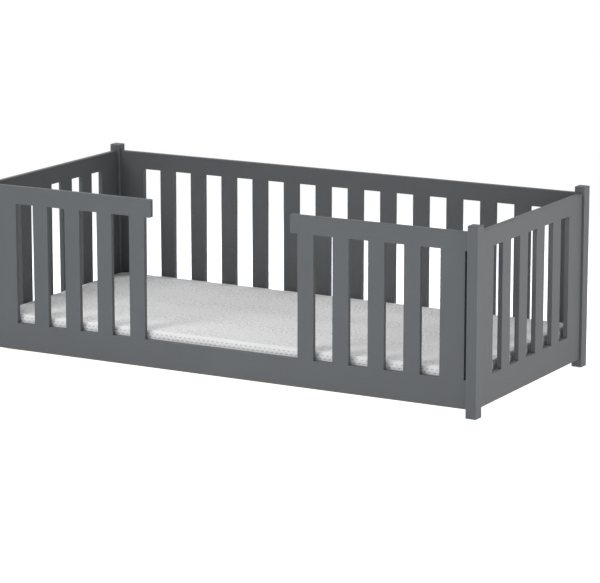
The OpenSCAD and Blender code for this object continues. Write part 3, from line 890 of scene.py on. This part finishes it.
def round_the_pad(distance):
    """The place on the outline that far round from its front left corner, and the way out."""
    left = distance % girth
    corner_leg = math.pi / 2 * CORNER_RADIUS
    for side in range(4):
        heading = side * math.pi / 2
        along = Vector((math.cos(heading), math.sin(heading), 0))
        outward = Vector((math.sin(heading), -math.cos(heading), 0))
        half_leg, reach = ((corner_x, half_width), (corner_y, half_length))[side % 2]
        if left <= 2 * half_leg:
            return outward * reach + along * (left - half_leg), outward
        left -= 2 * half_leg
        if left <= corner_leg or side == 3:
            way = outward * math.cos(left / CORNER_RADIUS) + along * math.sin(left / CORNER_RADIUS)
            return along * half_leg + outward * (reach - CORNER_RADIUS) + way * CORNER_RADIUS, way
        left -= corner_leg


def over_the_rim(distance):
    """That far over the rim from the top panel: how far in, how high, and the way out's tilt."""
    arc = math.pi / 2 * RIM_RADIUS
    if distance > profile / 2:
        inset, height, tilt = over_the_rim(profile - distance)
        return inset, rim_top + rim_bottom - height, -tilt
    if distance < 0:
        return RIM_RADIUS - distance, rim_top, math.pi / 2
    angle = min(distance / RIM_RADIUS, math.pi / 2)
    drop = RIM_RADIUS * (1 - math.cos(angle)) + max(0.0, distance - arc)
    return RIM_RADIUS * (1 - math.sin(angle)), rim_top - drop, math.pi / 2 - angle


def wrap(piece, surface):
    """Lays a flat strip on the pad: X goes round it, Y up its side, and Z away from its surface."""
    for point in piece.data.vertices:
        spot, way = round_the_pad(point.co.x)
        inset, height, tilt = over_the_rim(profile / 2 - point.co.y)
        out = way * math.cos(tilt) + UP * math.sin(tilt)
        spot = spot - way * inset
        spot.z = height
        found = surface.ray_cast(spot + out * AIM_FROM, -out)[0]
        point.co = (found or spot) + out * point.co.z
    edit(piece)
    bpy.ops.mesh.select_all(action="SELECT")
    bpy.ops.mesh.remove_doubles(threshold=MERGED_WRAPPED)
    bpy.ops.object.mode_set(mode="OBJECT")
    bpy.ops.object.shade_smooth()


pad_surface = BVHTree.FromObject(pad, bpy.context.evaluated_depsgraph_get())
for point in border.data.vertices:
    point.co.z += BORDER_THICKNESS
wrap(border, pad_surface)
print("border faces:", len(border.data.polygons))

# %% [markdown]
# ## Seams
#
# Where the border meets the top panel and the underside, both cloths are caught in a narrow
# rolled seam with a row of stitches beside it. Roll and stitches are again made flat, one short
# length of each, repeated along the strip and wrapped with the same function.

# %% Rolled seams and stitches
ROLL_RADIUS = 1.3 * MM
ROLL_LIFT = 0.8 * MM
ROLL_STEP = 8 * MM
ROLL_SIDES = 8
STITCH_PITCH = 4.6 * MM
STITCH_LENGTH = 3.4 * MM
STITCH_SIDES = 6
STITCH_RINGS = 5
THREAD_RADIUS = 0.35 * MM
STITCH_SETBACK = 3.6 * MM
STITCH_LIFT = 0.3 * THREAD_RADIUS
UPRIGHT_TO_ALONG = (0, math.pi / 2, 0)


def rolled_seam(name, height):
    """A thin roll of cloth along a strip at that height, wrapped round the pad."""
    deselect()
    steps = round(girth / ROLL_STEP)
    bpy.ops.mesh.primitive_cylinder_add(
        vertices=ROLL_SIDES, radius=ROLL_RADIUS, depth=girth / steps,
        end_fill_type="NOTHING", rotation=UPRIGHT_TO_ALONG,
    )
    roll = bpy.context.object
    roll.name = name
    bpy.ops.object.transform_apply(rotation=True)
    tile(roll, steps, (girth / steps, 0, 0))
    for point in roll.data.vertices:
        point.co += Vector((0, height, ROLL_LIFT))
    wrap(roll, pad_surface)
    return roll


def stitches(name, height):
    """A row of short threads at that height, each dipping into the cloth at its ends."""
    deselect()
    count = round(girth / STITCH_PITCH)
    bpy.ops.mesh.primitive_uv_sphere_add(
        segments=STITCH_SIDES, ring_count=STITCH_RINGS, radius=1, rotation=UPRIGHT_TO_ALONG,
    )
    row = bpy.context.object
    row.name = name
    bpy.ops.object.transform_apply(rotation=True)
    row.scale = (STITCH_LENGTH / 2, THREAD_RADIUS, THREAD_RADIUS)
    bpy.ops.object.transform_apply(scale=True)
    tile(row, count, (girth / count, 0, 0))
    for point in row.data.vertices:
        point.co += Vector((0, height, STITCH_LIFT))
    wrap(row, pad_surface)
    return row


seams = [
    rolled_seam("seam_roll_top", seam_height),
    rolled_seam("seam_roll_bottom", -seam_height),
    stitches("seam_stitches_top", seam_height + STITCH_SETBACK),
    stitches("seam_stitches_bottom", -seam_height - STITCH_SETBACK),
]
print("seams:", [piece.name for piece in seams])

# %% [markdown]
# ## Cloth finishes
#
# The top panel is a thick jacquard knit: small soft tufts with shallow dents between them, under
# fine loops of yarn. Each dent is painted a shade darker too, as painted shade for the light that
# gets lost in it. The tufts are the cells of an uneven grid with its corners smoothed. A regular
# grid this fine would show stripes from afar that aren't there. The tufts stand fuller in broad
# bands that sway along the bed. Gentle streaks run across it, where the knit was pulled as it was
# sewn. The border's cloth is smoother, and the lining behind its holes is grey, and painted
# darker than that as painted shade in the holes. Both cloths have a soft sheen from their fibres.

# %% Knit, border cloth and lining
KNIT_WHITE = (0.97, 0.97, 0.97)
KNIT_DENT_PAINTED_SHADE = (0.78, 0.78, 0.78)
BORDER_WHITE = (0.95, 0.95, 0.95)
BORDER_SHADE = (0.90, 0.90, 0.90)
# The holes' lining is grey, and its colour is darker still as painted shade in the holes.
HOLE_GREY_AND_SHADE = (0.60, 0.60, 0.61)
HOLE_SHADE = (0.480, 0.480, 0.488)
FIBRE_SHINE = {"Sheen_Weight": 0.15, "Specular_IOR_Level": 0.2}
TUFT_WIDTH = 9 * MM
TUFT_LENGTH = 14 * MM
TUFT_UNEVEN = 0.7
TUFT_SMOOTH = 0.35
TUFT_SPAN = (0.65, 0.05)
TUFT_DEPTH = 1.2 * MM
PUFF_MIDDLE = 0.45
LOOP_PITCH = 1.7 * MM
LOOP_DEPTH = 0.3 * MM
BAND_PITCH = 190 * MM
BAND_WAVE = 380 * MM
BAND_SWAY = 36 * MM
BAND_SPAN = (0.2, 0.8)
BAND_FULLNESS = (0.6, 1.7)
STREAK_PITCH = 60 * MM
STREAK_STRETCH = 0.15
STREAK_DEPTH = 2 * MM
MESH_SCALE = 1500
MESH_DEPTH = 0.15 * MM

knit, knit_surface = new_finish("cover_knit", Roughness=0.85, **FIBRE_SHINE)
tufts = node(knit, "TexVoronoi", {
    "Vector": coordinates(knit, (1 / TUFT_WIDTH, 1 / TUFT_LENGTH, 1)),
    "Scale": 1,
    "Smoothness": TUFT_SMOOTH,
    "Randomness": TUFT_UNEVEN,
}, voronoi_dimensions="2D", feature="SMOOTH_F1")
puffs = between(knit, tufts.outputs["Distance"], *TUFT_SPAN)
flat = node(knit, "SeparateXYZ", {0: coordinates(knit)}).outputs
sway = maths(knit, "MULTIPLY", rib(knit, flat["X"], BAND_WAVE), BAND_SWAY)
bands = rib(knit, maths(knit, "ADD", flat["Y"], sway), BAND_PITCH)
fullness = between(knit, bands, *BAND_SPAN, *BAND_FULLNESS)
above_middle = maths(knit, "SUBTRACT", puffs, PUFF_MIDDLE)
pile = maths(knit, "ADD", maths(knit, "MULTIPLY", above_middle, fullness), PUFF_MIDDLE)
yarn = crossed_ribs(knit, flat, LOOP_PITCH)
pull = noise(knit, coordinates(knit, (1, STREAK_STRETCH, 1)), 1 / STREAK_PITCH, detail=2)
# The dents between tufts are painted darker, as painted shade.
feed(knit, knit_surface, Base_Color=tint(knit, pile, KNIT_DENT_PAINTED_SHADE, KNIT_WHITE))
streaks = relief(knit, pull, STREAK_DEPTH)
tufted = relief(knit, pile, TUFT_DEPTH, streaks)
feed(knit, knit_surface, Normal=relief(knit, yarn, LOOP_DEPTH, tufted))

cloth, cloth_surface = new_finish("border_cloth", Roughness=0.8, **FIBRE_SHINE)
threads = noise(cloth, coordinates(cloth), MESH_SCALE, detail=2)
feed(cloth, cloth_surface, Base_Color=tint(cloth, threads, BORDER_SHADE, BORDER_WHITE))
feed(cloth, cloth_surface, Normal=relief(cloth, threads, MESH_DEPTH))

lining, lining_surface = new_finish("border_lining", Roughness=0.9)
pores = noise(lining, coordinates(lining), MESH_SCALE, detail=1)
# The hole floors carry painted shade on top of the lining's grey.
feed(lining, lining_surface, Base_Color=tint(lining, pores, HOLE_SHADE, HOLE_GREY_AND_SHADE))

pad.data.materials.append(knit)
border.data.materials.append(cloth)
border.data.materials.append(lining)
# A hole's floor is the only kind of face with that many corners.
for face in border.data.polygons:
    if len(face.vertices) == HOLE_CORNERS:
        face.material_index = 1
for piece in seams:
    piece.data.materials.append(cloth)

# %% The mattress moves as one body
for piece in [pad, border, *seams]:
    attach(piece, "mattress")
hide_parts("mattress")
